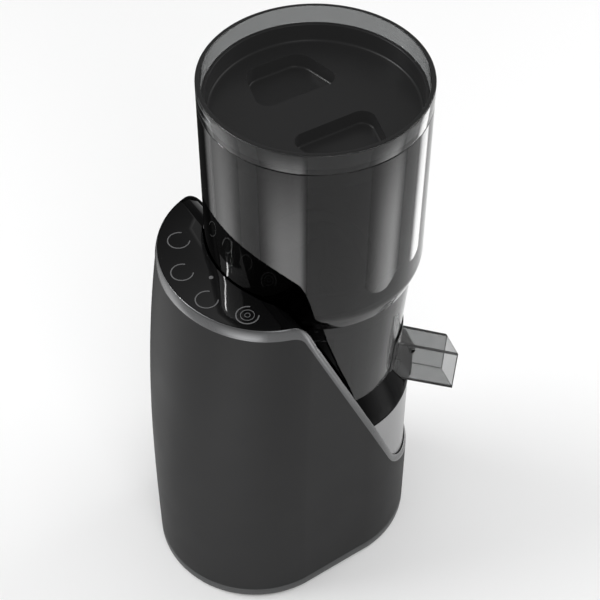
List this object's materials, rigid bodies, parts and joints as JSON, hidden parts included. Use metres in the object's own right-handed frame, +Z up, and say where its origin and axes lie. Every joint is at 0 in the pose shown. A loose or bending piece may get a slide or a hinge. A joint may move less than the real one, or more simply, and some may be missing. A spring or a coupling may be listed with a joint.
{
  "type": "cold press juicer",
  "caption": "Tall vertical slow juicer: oval motor body with a slanted front notch, smoked bowl and wide hopper, lid with finger wells, side pulp chute and a panel of ring touch marks",
  "frame": {"origin": "middle of the bounding box, in the plane that the rubber feet stand on; the drive axis stands 18.5 mm in front of it", "axes": "+Z up along the drive axis, +Y towards the pouring side, +X to the side that the pulp chute leans to"},
  "size_m": [0.165, 0.24, 0.463],
  "materials": {
    "shell_matte": "matt dark grey moulding",
    "trim_grey": "satin grey trim",
    "gloss_black": "polished black",
    "rubber_black": "soft black rubber",
    "steel": "plain machined steel",
    "white_print": "printed white marks",
    "circuit_green": "circuit board with its parts",
    "silver_paint": "silver lacquer",
    "magnet_black": "plain dark parts inside the motor",
    "bearing_bronze": "sintered bronze",
    "grey_silicone": "food grade silicone",
    "smoke_clear": "smoked clear plastic, polished",
    "screen_black": "filled black resin",
    "ivory_plastic": "plain pale resin"
  },
  "bodies": {
    "base": {"outer_shell": "shell_matte", "shell_bezel": "trim_grey", "base_ring": "trim_grey", "bottom_cover": "shell_matte", "rubber_feet": "rubber_black", "cover_screws": "steel", "control_panel": "gloss_black", "touch_rings": "white_print", "status_lamp": "white_print", "touch_board": "circuit_green", "touch_pads": "grey_silicone", "power_board": "circuit_green", "bowl_cradle": "gloss_black", "bowl_seat": "gloss_black", "front_skirt": "silver_paint", "gearbox_housing": "steel", "gearbox_cover": "steel", "motor_can": "steel", "motor_magnets": "magnet_black", "motor_bearings": "bearing_bronze", "stage_axle": "steel", "shaft_bearings": "bearing_bronze", "shaft_seal": "grey_silicone", "cord_gland": "gloss_black"},
    "drive": {"drive_shaft": "steel", "output_gear": "bearing_bronze"},
    "stage": {"stage_gear": "bearing_bronze"},
    "rotor": {"motor_rotor": "steel", "motor_pinion": "bearing_bronze", "cooling_fan": "magnet_black"},
    "bowl": {"juicing_bowl": "smoke_clear", "pulp_chute": "smoke_clear", "juice_spout": "smoke_clear", "bowl_seal": "grey_silicone", "idler_axle": "steel", "gate_pin": "steel", "strainer": "screen_black"},
    "wiper": {"wiper_frame": "ivory_plastic", "wiper_blades": "grey_silicone"},
    "idler": {"idler_gear": "ivory_plastic"},
    "auger": {"auger_screw": "screen_black", "auger_hub": "steel", "feed_cutter": "screen_black"},
    "gate": {"pulp_gate": "gloss_black"},
    "hopper": {"hopper_drum": "smoke_clear", "feed_funnel": "screen_black", "hopper_seal": "grey_silicone"},
    "lid": {"lid": "smoke_clear", "lid_seal": "grey_silicone"}
  },
  "joints": [
    {"name": "drive_spin", "type": "hinge", "parent": "base", "child": "drive", "pos_m": [0, 0.01851, 0.05], "axis": [0, 0, 1], "continuous": true},
    {"name": "stage_spin", "type": "hinge", "parent": "base", "child": "stage", "pos_m": [0, -0.03224, 0.03], "axis": [0, 0, 1], "continuous": true},
    {"name": "rotor_spin", "type": "hinge", "parent": "base", "child": "rotor", "pos_m": [0, -0.07724, 0.1], "axis": [0, 0, 1], "continuous": true},
    {"name": "bowl_lift", "type": "slide", "parent": "base", "child": "bowl", "axis": [0, 0, 1], "range_m": [0, 0.15]},
    {"name": "auger_spin", "type": "hinge", "parent": "bowl", "child": "auger", "pos_m": [0, 0.01851, 0.25], "axis": [0, 0, 1], "continuous": true},
    {"name": "idler_spin", "type": "hinge", "parent": "bowl", "child": "idler", "pos_m": [-0.0285, 0.01851, 0.2], "axis": [0, 0, 1], "continuous": true},
    {"name": "wiper_spin", "type": "hinge", "parent": "bowl", "child": "wiper", "pos_m": [0, 0.01851, 0.24], "axis": [0, 0, 1], "continuous": true},
    {"name": "gate_swing", "type": "hinge", "parent": "bowl", "child": "gate", "pos_m": [0.04392, 0.07777, 0.2052], "axis": [0.9836, -0.1805, 0], "range_deg": [0, 60]},
    {"name": "hopper_turn", "type": "hinge", "parent": "bowl", "child": "hopper", "pos_m": [0, 0.01851, 0.29], "axis": [0, 0, 1], "range_deg": [0, 30]},
    {"name": "lid_lift", "type": "slide", "parent": "hopper", "child": "lid", "axis": [0, 0, 1], "range_m": [0, 0.12]}
  ],
  "couplings": [
    {"joint": "stage_spin", "follows": "drive_spin", "ratio": -3.1429},
    {"joint": "rotor_spin", "follows": "drive_spin", "ratio": 15.714},
    {"joint": "auger_spin", "follows": "drive_spin", "ratio": 1},
    {"joint": "idler_spin", "follows": "drive_spin", "ratio": -0.72727},
    {"joint": "wiper_spin", "follows": "drive_spin", "ratio": -0.26667}
  ]
}
